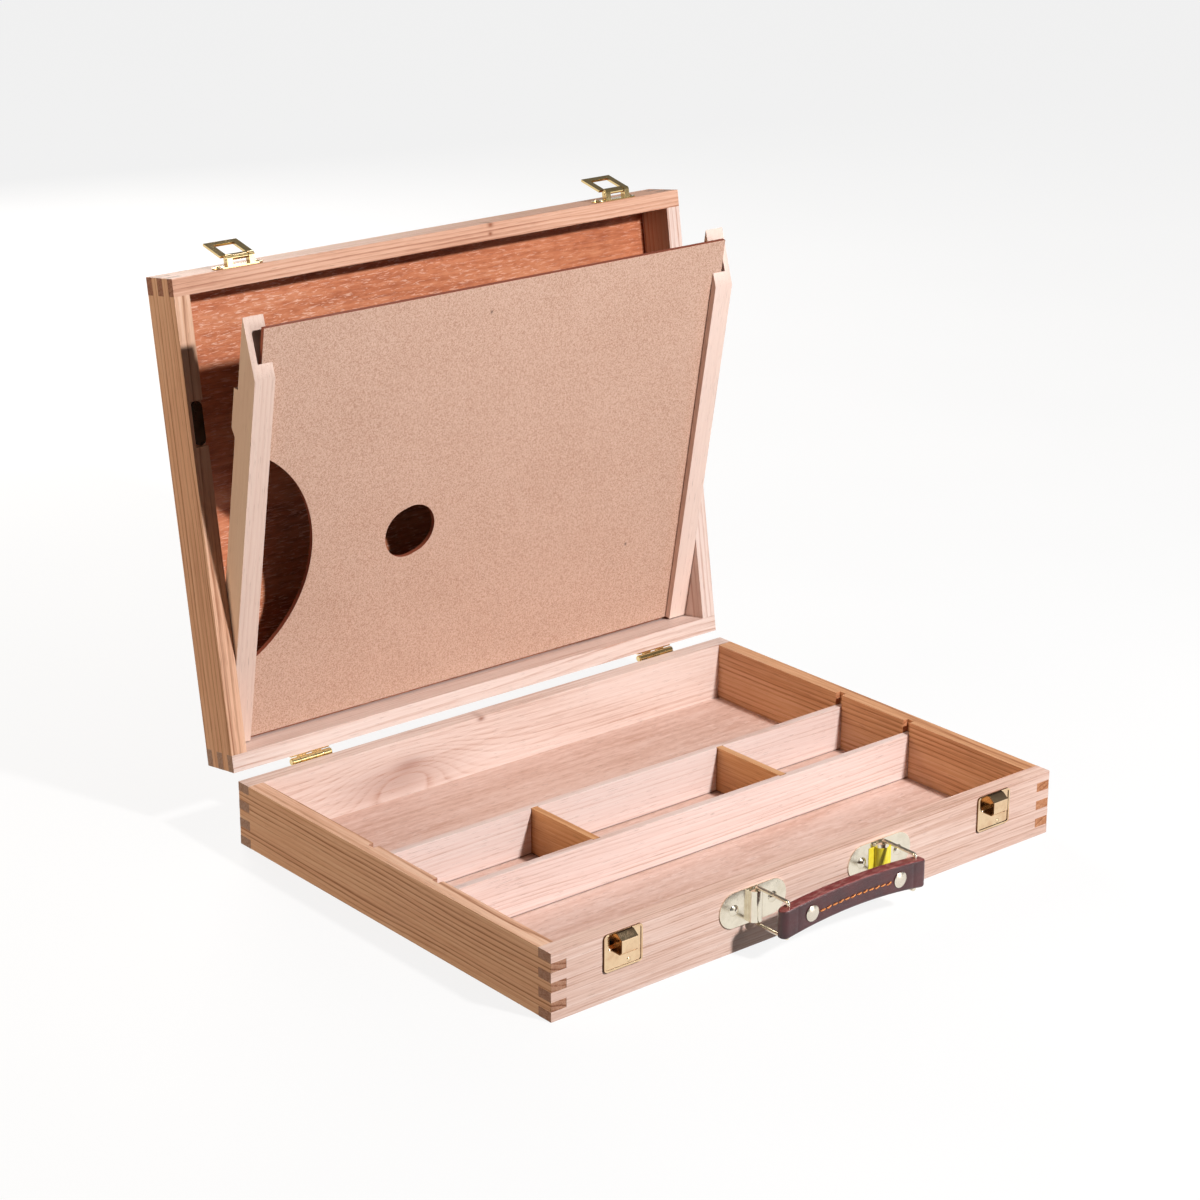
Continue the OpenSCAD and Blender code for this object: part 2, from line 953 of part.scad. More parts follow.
// The hardboard palette with its thumb hole and the round cut-out for the arm
module palette() {
    thumb_x = -59.1;
    thumb_y = in_y - 120.8;
    arm_x = -215.6;
    arm_y = in_y - 126;
    arm_r = 81;
    color(board)
        rail_pose()
            difference() {
                block([-palette_w / 2, palette_end_y - palette_h, palette_z],
                      [palette_w / 2, palette_end_y, palette_z + palette_t]);
                translate([thumb_x, thumb_y, 0])
                    rotate([0, 0, -17])
                        linear_extrude(height = lid_top)
                            stadium(38.4, 34.2);
                translate([arm_x, arm_y, 0])
                    cylinder(r = arm_r, h = lid_top, $fn = 128);
            }
}

base_front_wall();
base_rear_wall();
base_left_wall();
base_right_wall();
base_bottom_panel();
divider_rear();
divider_front();
divider_cross_left();
divider_cross_right();
catch_plate_left();
catch_plate_right();
catch_nose_left();
catch_nose_right();
catch_nails();
handle_plate_left();
handle_plate_right();
handle_plate_rivets();
paper_label();
handle_ring_left();
handle_ring_right();
handle_strap();
handle_rivets();
hinge_base_leaf_left();
hinge_base_leaf_right();
hinge_lid_leaf_left();
hinge_lid_leaf_right();
hinge_pin_left();
hinge_pin_right();
hinge_base_screws();
hinge_lid_screws();
lid_front_wall();
lid_rear_wall();
lid_left_wall();
lid_right_wall();
lid_panel();
hasp_plate_left();
hasp_plate_right();
hasp_pin_left();
hasp_pin_right();
hasp_nails();
hasp_loop_left();
hasp_loop_right();
rail_left();
rail_right();
rail_pivot_screws();
turn_button_left();
turn_button_right();
turn_button_screws();
palette();
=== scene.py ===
"""Looks of a wooden art supply box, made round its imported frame. Lengths are in metres."""

import json
import math
import random

import bmesh
import bpy
from mathutils import Matrix, Vector


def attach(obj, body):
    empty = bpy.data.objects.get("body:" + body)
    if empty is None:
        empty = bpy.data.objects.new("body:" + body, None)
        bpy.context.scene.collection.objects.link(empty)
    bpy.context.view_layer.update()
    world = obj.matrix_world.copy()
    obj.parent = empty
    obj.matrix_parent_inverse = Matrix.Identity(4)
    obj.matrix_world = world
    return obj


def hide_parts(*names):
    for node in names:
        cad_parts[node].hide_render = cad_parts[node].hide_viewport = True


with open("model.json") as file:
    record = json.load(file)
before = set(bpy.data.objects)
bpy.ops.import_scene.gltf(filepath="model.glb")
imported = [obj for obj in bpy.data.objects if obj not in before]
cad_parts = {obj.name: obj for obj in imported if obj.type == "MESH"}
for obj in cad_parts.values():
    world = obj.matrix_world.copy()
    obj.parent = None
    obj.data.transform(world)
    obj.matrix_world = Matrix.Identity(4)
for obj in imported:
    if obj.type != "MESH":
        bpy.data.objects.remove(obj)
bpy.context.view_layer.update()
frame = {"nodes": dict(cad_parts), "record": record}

nodes = frame["nodes"]
MM = 0.001
rng = random.Random(11)

# Directions in the open lid, and along the tilted palette rails
LID_UP = Vector((0, 0.1478, 0.9890))
LID_OUT = Vector((0, 0.9890, -0.1478))
RAIL_UP = Vector((0, -0.1736, 0.9848))
RAIL_OUT = Vector((0, 0.9848, 0.1736))
X = Vector((1, 0, 0))
Y = Vector((0, 1, 0))
Z = Vector((0, 0, 1))


def srgb(r, g, b):
    """A colour given in 0-255 display values, as the linear one that shaders take."""
    def one(c):
        c /= 255
        return c / 12.92 if c <= 0.04045 else ((c + 0.055) / 1.055) ** 2.4
    return (one(r), one(g), one(b), 1)


def grey(value):
    return (value, value, value, 1)


class Shader:
    """A material's node tree with short ways to add to it."""

    def __init__(self, name):
        self.material = bpy.data.materials.new(name)
        self.material.use_nodes = True
        self.tree = self.material.node_tree
        self.tree.nodes.clear()
        self.bsdf = self.add("ShaderNodeBsdfPrincipled")
        output = self.add("ShaderNodeOutputMaterial")
        self.link(self.bsdf.outputs[0], output.inputs["Surface"])
        self.coords = self.add("ShaderNodeTexCoord")

    def add(self, kind, **settings):
        """Adds a node and sets its own properties."""
        node = self.tree.nodes.new(kind)
        for key, value in settings.items():
            setattr(node, key, value)
        return node

    def link(self, source, socket):
        self.tree.links.new(source, socket)

    def feed(self, socket, value):
        """Links a socket, or sets it if the value is a plain number or colour."""
        if isinstance(value, bpy.types.NodeSocket):
            self.link(value, socket)
        else:
            socket.default_value = value

    def math(self, operation, a, b=0.0, clamp=False):
        node = self.add("ShaderNodeMath", operation=operation, use_clamp=clamp)
        self.feed(node.inputs[0], a)
        self.feed(node.inputs[1], b)
        return node.outputs[0]

    def scaled(self, vector, scale):
        node = self.add("ShaderNodeVectorMath", operation="MULTIPLY")
        self.link(vector, node.inputs[0])
        node.inputs[1].default_value = scale
        return node.outputs[0]

    def noise(self, vector, scale, detail=2.0, rough=0.5, distort=0.0):
        node = self.add("ShaderNodeTexNoise")
        self.link(self.scaled(vector, scale), node.inputs["Vector"])
        node.inputs["Scale"].default_value = 1
        node.inputs["Detail"].default_value = detail
        node.inputs["Roughness"].default_value = rough
        node.inputs["Distortion"].default_value = distort
        return node.outputs[0]

    def span(self, value, low, high, out_low=0.0, out_high=1.0):
        """Maps low..high smoothly onto out_low..out_high."""
        node = self.add("ShaderNodeMapRange", interpolation_type="SMOOTHSTEP")
        self.link(value, node.inputs[0])
        for i, number in enumerate((low, high, out_low, out_high)):
            node.inputs[i + 1].default_value = number
        return node.outputs[0]

    def ramp(self, value, stops):
        node = self.add("ShaderNodeValToRGB")
        points = node.color_ramp.elements
        while len(points) < len(stops):
            points.new(0.5)
        for point, (place, colour) in zip(points, stops):
            point.position = place
            point.color = colour
        self.link(value, node.inputs[0])
        return node.outputs[0]

    def mix(self, factor, a, b, blend="MIX"):
        node = self.add("ShaderNodeMix", data_type="RGBA", blend_type=blend)
        self.feed(node.inputs[0], factor)
        self.feed(node.inputs[6], a)
        self.feed(node.inputs[7], b)
        return node.outputs[2]

    def bump(self, height, distance, strength=1.0):
        node = self.add("ShaderNodeBump")
        node.inputs["Distance"].default_value = distance
        node.inputs["Strength"].default_value = strength
        self.link(height, node.inputs["Height"])
        self.link(node.outputs[0], self.bsdf.inputs["Normal"])

    def set(self, **values):
        for name, value in values.items():
            self.feed(self.bsdf.inputs[name.replace("_", " ")], value)

    def board(self, along, across, shift):
        """Coordinates with the grain along X, moved to this board's own place in the tree."""
        turn = Matrix((along, across, along.cross(across)))
        node = self.add("ShaderNodeMapping", vector_type="POINT")
        node.inputs["Rotation"].default_value = turn.to_euler()
        node.inputs["Location"].default_value = shift
        self.link(self.coords.outputs["Object"], node.inputs["Vector"])
        return node.outputs[0]

    def spot(self, centre, size):
        """1 at a point of the object, falling to 0 at about twice size from it."""
        offset = self.add("ShaderNodeVectorMath", operation="SUBTRACT")
        self.link(self.coords.outputs["Object"], offset.inputs[0])
        offset.inputs[1].default_value = centre
        stretched = self.scaled(offset.outputs[0], [1 / s for s in size])
        length = self.add("ShaderNodeVectorMath", operation="LENGTH")
        self.link(stretched, length.inputs[0])
        square = self.math("MULTIPLY", length.outputs["Value"], length.outputs["Value"])
        return self.math("EXPONENT", self.math("MULTIPLY", square, -1.0))

    def facing(self, direction):
        """How squarely the surface faces along a direction of the object, from 0 to 1."""
        return self.math("ABSOLUTE", self.towards(direction))

    def towards(self, direction):
        """As facing, but from -1 where the surface faces the other way."""
        node = self.add("ShaderNodeVectorMath", operation="DOT_PRODUCT")
        self.link(self.coords.outputs["Normal"], node.inputs[0])
        node.inputs[1].default_value = direction
        return node.outputs["Value"]

    def part(self, vector, axis):
        """One number of a vector: 0, 1 or 2."""
        node = self.add("ShaderNodeSeparateXYZ")
        self.link(vector, node.inputs[0])
        return node.outputs[axis]


def wood(name, along, across, tones, pith=(0.05, 0.12), ring=0.0035, contrast=0.5,
         fibre=0.4, end_dark=0.55, figures=(), knots=(), foot=None):
    """Sawn wood: growth rings round a far pith, fibres, pores, darker end grain.

    pith is the middle of the tree, across the board. ring is the rings' pitch, contrast
    and fibre are the strengths of the rings and of the fine streaks, and end_dark is how
    bright the end grain is. A figure is a centre, a size and how many rings it lifts; a
    knot is a centre, a size and a strength. foot is the height of a board that stands
    on a panel; just above it a dark strip is painted in as the contact shadow there.
    """
    s = Shader(name)
    place = s.board(along, across, [rng.uniform(-3, 3), 0, 0])
    to_v = s.math("SUBTRACT", s.part(place, 1), pith[0])
    to_w = s.math("SUBTRACT", s.part(place, 2), pith[1])
    square = s.math("ADD", s.math("MULTIPLY", to_v, to_v), s.math("MULTIPLY", to_w, to_w))
    radius = s.math("SQRT", square)
    sway = s.math("MULTIPLY", s.noise(place, (2.2, 9, 9), 2), 0.020)
    wobble = s.math("MULTIPLY", s.noise(place, (16, 90, 90), 2), 0.0016)
    radius = s.math("ADD", radius, s.math("ADD", sway, wobble))
    for centre, size, rings in figures:
        lift = s.math("MULTIPLY", s.spot(centre, size), rings * ring)
        radius = s.math("ADD", radius, lift)
    turns = s.math("DIVIDE", radius, ring)
    band = s.ramp(s.math("FRACT", turns),
                  [(0, grey(0.1)), (0.5, grey(0.3)), (0.86, grey(1)), (1, grey(0.1))])
    own = s.add("ShaderNodeTexWhiteNoise", noise_dimensions="1D")
    s.link(s.math("FLOOR", turns), own.inputs["W"])
    band = s.math("MULTIPLY", band, s.span(own.outputs["Value"], 0, 1, 0.45, 1))
    streak = s.noise(place, (9, 520, 520), 5, 0.68)
    fine = s.noise(place, (70, 2200, 2200), 2, 0.5)
    tone = s.noise(place, (3, 16, 16), 3, 0.55)
    pores = s.span(s.noise(place, (95, 2300, 2300), 1), 0.66, 0.74)
    mixed = s.math("MULTIPLY", band, contrast)
    mixed = s.math("ADD", mixed, s.math("MULTIPLY", s.span(streak, 0.32, 0.72), fibre))
    mixed = s.math("ADD", mixed, s.math("MULTIPLY", s.span(tone, 0.3, 0.7), 0.28))
    mixed = s.math("ADD", mixed, s.math("MULTIPLY", s.math("SUBTRACT", fine, 0.5), 0.5), True)
    light, middle, dark = (srgb(*t) for t in tones)
    colour = s.ramp(mixed, [(0.08, light), (0.5, middle), (1, dark)])
    colour = s.mix(s.math("MULTIPLY", pores, 0.35), colour, srgb(112, 70, 46))
    for centre, size, strength in knots:
        knot = s.math("MULTIPLY", s.spot(centre, size), strength)
        colour = s.mix(knot, colour, srgb(132, 70, 40))
    # Painted shadow: a dark strip just above the foot, standing in for the contact shadow where
    # the board meets the panel
    if foot is not None:
        height = s.part(s.coords.outputs["Object"], 2)
        painted_foot_shadow = s.span(height, foot, foot + 1.3 * MM, 0.85, 0)
        colour = s.mix(painted_foot_shadow, colour, srgb(84, 50, 34))
    end = s.span(s.facing(along), 0.75, 0.92)
    speckle = s.span(s.noise(place, (900, 900, 900), 3), 0.3, 0.7, 0.82, 1.08)
    end_brown = (end_dark, end_dark * 0.82, end_dark * 0.74, 1)
    end_tint = s.mix(1.0, colour, end_brown, "MULTIPLY")
    end_tint = s.mix(1.0, end_tint, speckle, "MULTIPLY")
    colour = s.mix(end, colour, end_tint)
    s.set(Base_Color=colour, Roughness=s.span(streak, 0.2, 0.8, 0.48, 0.66),
          Specular_IOR_Level=0.2, Coat_Weight=0.05, Coat_Roughness=0.5)
    relief = s.math("ADD", s.math("MULTIPLY", streak, 0.6), s.math("MULTIPLY", pores, -0.8))
    relief = s.math("ADD", relief, s.math("MULTIPLY", band, -0.25))
    s.bump(relief, 0.00012, 0.55)
    return s.material


def panel_ply(name, along, across, tones, fleck, fleck_colour, fleck_share):
    """Thin ply: a peeled face with short flecks that run with the grain.

    fleck is how many of them there are to a metre, along and across the grain.
    """
    s = Shader(name)
    place = s.board(along, across, [rng.uniform(-3, 3), rng.uniform(-3, 3), 0])
    wave = s.noise(place, (6, 34, 34), 3, 0.5, 0.6)
    streak = s.noise(place, (14, 260, 260), 4, 0.62)
    mottle = s.noise(place, (120, 420, 420), 3, 0.6)
    mixed = s.math("ADD", s.math("MULTIPLY", wave, 0.38), s.math("MULTIPLY", streak, 0.48))
    mixed = s.math("ADD", mixed, s.math("MULTIPLY", mottle, 0.32))
    light, middle, dark = (srgb(*t) for t in tones)
    colour = s.ramp(s.span(mixed, 0.38, 0.78), [(0, light), (0.5, middle), (1, dark)])
    ropes = s.noise(place, (fleck[0], fleck[1], fleck[1]), 3, 0.65, 0.8)
    patch = s.span(s.noise(place, (4, 9, 9), 2), 0.35, 0.65, 0.3, 1)
    share = s.math("MULTIPLY", patch, fleck_share)
    flecks = s.math("MULTIPLY", s.span(ropes, 0.54, 0.64), share)
    colour = s.mix(flecks, colour, srgb(*fleck_colour))
    pores = s.span(s.noise(place, (150, 1500, 1500), 1), 0.64, 0.74)
    colour = s.mix(s.math("MULTIPLY", pores, 0.3), colour, srgb(120, 62, 40))
    s.set(Base_Color=colour, Roughness=s.span(streak, 0.2, 0.8, 0.5, 0.68),
          Specular_IOR_Level=0.3)
    relief = s.math("SUBTRACT", s.math("MULTIPLY", streak, 0.6), s.math("MULTIPLY", pores, 0.8))
    s.bump(relief, 0.0001, 0.6)
    return s.material


# Two dark chips pressed into the palette's face, and how far each one spreads
SPECKS = ((0.1276, 0.1718, 0.1218), (-0.0107, 0.1381, 0.3128))
SPECK_SIZE = (0.9 * MM, 3 * MM, 1.1 * MM)
# How closely the screen marks on its back follow each other
SCREEN_SCALE = 150


def hardboard(name):
    """Pressed board: fine speckle on the face, reddish cut edges, a screen-marked back."""
    s = Shader(name)
    place = s.board(RAIL_UP, X, (0, 0, 0))
    grains = s.noise(place, (1150, 1150, 1150), 3, 0.7)
    clouds = s.noise(place, (22, 22, 22), 3, 0.55)
    base = s.math("ADD", s.math("MULTIPLY", grains, 0.92), s.math("MULTIPLY", clouds, 0.08))
    colour = s.ramp(s.span(base, 0.3, 0.7), [
        (0, srgb(217, 184, 165)), (0.5, srgb(203, 167, 147)), (1, srgb(176, 134, 111))])
    chips = s.span(s.noise(place, (1300, 1300, 1300), 2, 0.5), 0.62, 0.7)
    colour = s.mix(s.math("MULTIPLY", chips, 0.4), colour, srgb(142, 96, 74))
    pale = s.span(s.noise(place, (1050, 1050, 1080), 2, 0.5), 0.62, 0.72)
    colour = s.mix(s.math("MULTIPLY", pale, 0.45), colour, srgb(234, 208, 192))
    for speck in SPECKS:
        dot = s.math("MULTIPLY", s.spot(speck, SPECK_SIZE), 0.85)
        colour = s.mix(dot, colour, srgb(70, 40, 30))
    edge = s.span(s.facing(RAIL_OUT), 0.35, 0.75, 1, 0)
    colour = s.mix(edge, colour, srgb(142, 74, 52))
    wires = []
    for direction in "XY":
        wave = s.add("ShaderNodeTexWave", wave_type="BANDS", bands_direction=direction)
        s.link(place, wave.inputs["Vector"])
        wave.inputs["Scale"].default_value = SCREEN_SCALE
        wires.append(wave.outputs["Fac"])
    screen = s.math("MULTIPLY", *wires)
    back = s.span(s.towards(RAIL_OUT), 0.6, 0.9)
    colour = s.mix(back, colour, s.mix(screen, srgb(96, 58, 36), srgb(138, 92, 62)))
    relief = s.math("ADD", s.math("MULTIPLY", grains, 0.35),
                    s.math("MULTIPLY", screen, s.math("MULTIPLY", back, 1.6)))
    s.set(Base_Color=colour, Roughness=s.span(grains, 0.3, 0.7, 0.5, 0.66),
          Specular_IOR_Level=0.35)
    s.bump(relief, 0.00016, 0.6)
    return s.material


def metal(name, colour, tarnish, rough=0.14, mottled=0.25, front=None):
    """Plated sheet: soft tarnish, fine scratches and an uneven polish.

    Where front is given, faces that turn away from it are painted dark brown: painted shade and
    dark reflection on the sides.
    """
    s = Shader(name)
    place = s.coords.outputs["Object"]
    cloud = s.noise(place, (90, 90, 90), 3, 0.6)
    scratch = s.noise(place, (2600, 160, 700), 2, 0.6)
    smudge = s.span(s.noise(place, (260, 260, 260), 2), 0.45, 0.75)
    stain = s.math("MULTIPLY", s.span(cloud, 0.4, 0.75), mottled)
    tint = s.mix(stain, srgb(*colour), srgb(*tarnish))
    # Painted shade: faces square to front are darkened, standing in for shadow and dark
    # reflection on the sides
    if front is not None:
        side = s.span(s.facing(front), 0.3, 0.6, 0.85, 0)
        tint = s.mix(side, tint, srgb(92, 60, 32))
    polish = s.math("MULTIPLY", scratch, 0.14)
    polish = s.math("ADD", polish, s.math("MULTIPLY", smudge, 0.10))
    s.set(Base_Color=tint, Metallic=1.0, Roughness=s.math("ADD", polish, rough - 0.08))
    relief = s.math("ADD", s.math("MULTIPLY", cloud, 0.9), s.math("MULTIPLY", scratch, 0.1))
    s.bump(relief, 0.00025, 0.35)
    return s.material


def leather(name):
    """Waxed leather: pebbled grain, creases, dark red painted edges rubbed pale."""
    s = Shader(name)
    place = s.coords.outputs["Object"]
    cells = s.add("ShaderNodeTexVoronoi", feature="DISTANCE_TO_EDGE")
    s.link(s.scaled(place, (1100, 1100, 1100)), cells.inputs["Vector"])
    cells.inputs["Scale"].default_value = 1
    pebbles = s.span(cells.outputs["Distance"], 0, 0.22)
    folds = s.noise(place, (180, 420, 420), 4, 0.6)
    cloud = s.noise(place, (60, 60, 60), 3)
    colour = s.ramp(cloud, [
        (0.3, srgb(50, 14, 20)), (0.55, srgb(68, 21, 26)), (0.8, srgb(84, 28, 30))])
    edge = s.span(s.facing(Z), 0.45, 0.85)
    rubbed = s.math("MULTIPLY", edge, s.span(folds, 0.42, 0.68))
    colour = s.mix(s.math("MULTIPLY", edge, 0.8), colour, srgb(128, 46, 44))
    colour = s.mix(s.math("MULTIPLY", rubbed, 0.45), colour, srgb(186, 130, 122))
    s.set(Base_Color=colour, Roughness=s.span(folds, 0.3, 0.7, 0.3, 0.5),
          Specular_IOR_Level=0.55, Coat_Weight=0.25, Coat_Roughness=0.28)
    relief = s.math("ADD", s.math("MULTIPLY", pebbles, 0.5), folds)
    s.bump(relief, 0.00018, 0.7)
    return s.material


def thread(name):
    """Waxed thread with its twist."""
    s = Shader(name)
    place = s.coords.outputs["Object"]
    twist = s.add("ShaderNodeTexWave", wave_type="BANDS", bands_direction="DIAGONAL")
    s.link(place, twist.inputs["Vector"])
    twist.inputs["Scale"].default_value = 420
    colour = s.mix(s.span(twist.outputs["Fac"], 0.2, 0.8), srgb(176, 98, 44), srgb(240, 156, 84))
    fuzz = s.noise(place, (1500, 1500, 1500), 2)
    s.set(Base_Color=colour, Roughness=s.span(fuzz, 0.3, 0.7, 0.5, 0.75))
    s.bump(twist.outputs["Fac"], 0.0001, 0.6)
    return s.material


def label(name):
    """A blank coated paper label with a faint, paler fibre."""
    s = Shader(name)
    place = s.coords.outputs["Object"]
    cloud = s.noise(place, (240, 240, 240), 3, 0.6)
    fibre = s.noise(place, (1400, 500, 500), 3, 0.6)
    colour = s.ramp(cloud, [(0.3, srgb(240, 226, 70)), (0.7, srgb(228, 206, 44))])
    colour = s.mix(s.span(fibre, 0.55, 0.8, 0, 0.35), colour, srgb(246, 238, 150))
    s.set(Base_Color=colour, Roughness=s.span(fibre, 0.3, 0.7, 0.35, 0.5))
    s.bump(fibre, 0.00005, 0.4)
    return s.material


def tube(mesh, points, radius, sides=8, end_share=0.55):
    """Adds a closed tube along the points, thinner at its two ends."""
    rings = []
    for i, point in enumerate(points):
        ahead = points[min(i + 1, len(points) - 1)] - points[max(i - 1, 0)]
        side = ahead.cross(Z).normalized()
        up = side.cross(ahead).normalized()
        wide = radius * (end_share if i in (0, len(points) - 1) else 1)
        turns = [2 * math.pi * k / sides for k in range(sides)]
        rings.append([mesh.verts.new(point + wide * (side * math.cos(t) + up * math.sin(t)))
                      for t in turns])
    for low, high in zip(rings, rings[1:]):
        for k in range(sides):
            n = (k + 1) % sides
            mesh.faces.new((low[k], low[n], high[n], high[k]))
    mesh.faces.new(rings[0][::-1])
    mesh.faces.new(rings[-1])


def make(name, mesh, material, body, replaced=()):
    """Turns a bmesh into a smooth piece that rides on a body."""
    bmesh.ops.recalc_face_normals(mesh, faces=mesh.faces)
    data = bpy.data.meshes.new(name)
    mesh.to_mesh(data)
    mesh.free()
    data.shade_smooth()
    data.materials.append(material)
    piece = bpy.data.objects.new(name, data)
    bpy.context.scene.collection.objects.link(piece)
    rounding = piece.modifiers.new("rounding", "SUBSURF")
    rounding.levels = rounding.render_levels = 1
    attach(piece, body)
    if replaced:
        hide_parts(*replaced)
    return piece


# The leather grip, in millimetres and in the frame's own axes: its middle plane, half its
# thickness, and how far it is flat and how far it reaches from the middle of the box
GRIP_Y = -184
GRIP_HALF = 4
GRIP_END = 53.5
GRIP_REACH = 57.4
# The height and radius of its arched under and top sides, and its lowest point
UNDER = (22.0, 333.6)
TOP = (38.9, 487.5)
LOWEST = 17.4
# The rivets, the ends and middle of the stitched seam, and the pressed line by each end
RIVETS = (-35.3, 35.3)
RIVET_Z = 28.4
RIVET_HEAD = 5.0
SEAM = ((-29.6, 27.8), (0, 29.5), (28.4, 28.5))
SEAM_OVERRUN = 2
END_LINE = 46.5
# How deep and how wide the leather is drawn in at the rivets, the seam and the end lines
RIVET_DENT = (0.45, 1.5)
LINE_DENT = (0.4, 0.9)
# The creases along both edges: depth, width and distance from the edge
EDGE_CREASE = (0.22, 0.45, 2.9)
# The rounding of its long edges and the groove where its two layers meet
EDGE_ROUND = 1.7
LAYER_GROOVE = 0.45
# How much the rounded ends close in, and the turns at which they have a section
TIP_PINCH = 1.1
TIP_TURNS = (12, 24, 36, 48, 60, 70, 78, 84)


def seam_height(x):
    """Height of the stitched line, a shallow arc through three points."""
    (x0, z0), (x1, z1), (x2, z2) = SEAM
    return (z0 * (x - x1) * (x - x2) / ((x0 - x1) * (x0 - x2))
            + z1 * (x - x0) * (x - x2) / ((x1 - x0) * (x1 - x2))
            + z2 * (x - x0) * (x - x1) / ((x2 - x0) * (x2 - x1)))


def arc_height(arc, x):
    """Height of an arched side above a point of the grip's length."""
    top, radius = arc
    return top - radius + math.sqrt(radius * radius - x * x)


def dent(depth, width, away):
    """The depth of a pressed line at a distance from its middle."""
    return depth * math.exp(-(away / width) ** 2)


def pressed(x, z):
    """How far the leather's face is drawn in at a point, in millimetres."""
    depth = 0.0
    for rx in RIVETS:
        depth += dent(*RIVET_DENT, math.hypot(x - rx, z - RIVET_Z) - RIVET_HEAD)
    if SEAM[0][0] - SEAM_OVERRUN < x < SEAM[2][0] + SEAM_OVERRUN:
        depth += dent(*LINE_DENT, z - seam_height(x))
    return depth + dent(*LINE_DENT, abs(x) - END_LINE)


def grip_section(x, half, pinch, steps=18):
    """The outline of the grip across its length: rounded edges, creased faces, a seam."""
    low = max(arc_height(UNDER, x), LOWEST) + pinch
    high = arc_height(TOP, x) - pinch
    corner = min(EDGE_ROUND, half * 0.5)
    groove = LAYER_GROOVE * min(1, half / 2)
    depth, width, from_edge = EDGE_CREASE
    turns = [math.radians(d) for d in (10, 35, 60)]
    outline = []
    for side in (-1, 1):
        tall = high - low - 2 * corner
        face = []
        for z in (high - corner - tall * k / steps for k in range(steps + 1)):
            crease = sum(dent(depth, width, z - edge)
                         for edge in (high - from_edge, low + from_edge))
            inward = (pressed(x, z) + crease) * min(1, half / GRIP_HALF)
            face.append((side * (half - inward), z))
        outward = [side * (half - corner + corner * math.sin(a)) for a in turns]
        drop = [corner * math.cos(a) for a in turns]
        over = [(out, high - corner + d) for out, d in zip(outward, drop)]
        under = [(out, low + corner - d) for out, d in zip(outward, drop)][::-1]
        half_ring = over + face + under
        outline += half_ring if side < 0 else half_ring[::-1]
        outline.append((0, low + groove if side < 0 else high - groove))
    return outline


def build_grip():
    """The two layers of the grip as one closed skin, a section to each millimetre."""
    mesh = bmesh.new()
    bends = [math.radians(d) for d in TIP_TURNS]
    tips = [(GRIP_END + GRIP_HALF * math.sin(a), GRIP_HALF * math.cos(a),
             TIP_PINCH * (1 - math.cos(a))) for a in bends]
    middle = [(-GRIP_END + k, GRIP_HALF, 0.0) for k in range(int(2 * GRIP_END) + 1)]
    stations = [(-x, half, pinch) for x, half, pinch in reversed(tips)] + middle + tips
    rings = []
    for x, half, pinch in stations:
        section = grip_section(min(max(x, -GRIP_REACH), GRIP_REACH), half, pinch)
        rings.append([mesh.verts.new((x * MM, (GRIP_Y + y) * MM, z * MM)) for y, z in section])
    count = len(rings[0])
    for a, b in zip(rings, rings[1:]):
        for k in range(count):
            n = (k + 1) % count
            mesh.faces.new((a[k], a[n], b[n], b[k]))
    mesh.faces.new(rings[0])
    mesh.faces.new(rings[-1][::-1])
    return mesh


STITCHES = 12
# Half a stitch's length, its radius, how far it stands proud, and how deep its ends sink
STITCH_HALF = 2.1
STITCH_RADIUS = 0.52
STITCH_PROUD = 0.02
STITCH_SINK = 0.85


def build_stitches():
    """A row of slightly slanted stitches on each face, their ends sunk in the leather."""
    mesh = bmesh.new()
    pitch = (SEAM[2][0] - SEAM[0][0]) / STITCHES
    for face in (-1, 1):
        for k in range(STITCHES):
            x = SEAM[0][0] + (k + 0.5) * pitch
            slant = 0.75 if k % 2 else 0.3
            points = []
            for step in range(-3, 4):
                t = step / 3
                out = GRIP_HALF + STITCH_PROUD - STITCH_SINK * t ** 4
                points.append(Vector((x + STITCH_HALF * t, GRIP_Y + face * out,
                                      seam_height(x) + slant * t)) * MM)
            tube(mesh, points, STITCH_RADIUS * MM)
    return mesh


# Edges that turn more than this are sharp
SHARP = math.radians(40)


def geometry_group(name):
    """An empty geometry node group, with its input and output nodes."""
    group = bpy.data.node_groups.new(name, "GeometryNodeTree")
    group.interface.new_socket("Geometry", in_out="INPUT", socket_type="NodeSocketGeometry")
    group.interface.new_socket("Geometry", in_out="OUTPUT", socket_type="NodeSocketGeometry")
    return group, group.nodes.new("NodeGroupInput"), group.nodes.new("NodeGroupOutput")


def plain_normals():
    """A node group that drops the normals stored with a mesh."""
    group, start, end = geometry_group("plain_normals")
    drop = group.nodes.new("GeometryNodeRemoveAttribute")
    drop.inputs["Name"].default_value = "custom_normal"
    group.links.new(start.outputs[0], drop.inputs[0])
    group.links.new(drop.outputs[0], end.inputs[0])
    return group


def smooth_by_angle():
    """A node group that shades smooth only across shallow edges."""
    group, start, end = geometry_group("shallow_edges_smooth")
    angle = group.nodes.new("GeometryNodeInputMeshEdgeAngle")
    less = group.nodes.new("FunctionNodeCompare")
    less.operation = "LESS_THAN"
    less.inputs[1].default_value = SHARP
    faces = group.nodes.new("GeometryNodeSetShadeSmooth")
    edges = group.nodes.new("GeometryNodeSetShadeSmooth")
    faces.domain = "FACE"
    edges.domain = "EDGE"
    group.links.new(angle.outputs[0], less.inputs[0])
    group.links.new(start.outputs[0], faces.inputs[0])
    group.links.new(faces.outputs[0], edges.inputs[0])
    group.links.new(less.outputs[0], edges.inputs["Shade Smooth"])
    group.links.new(edges.outputs[0], end.inputs[0])
    return group


PLAIN = plain_normals()
SHALLOW = smooth_by_angle()


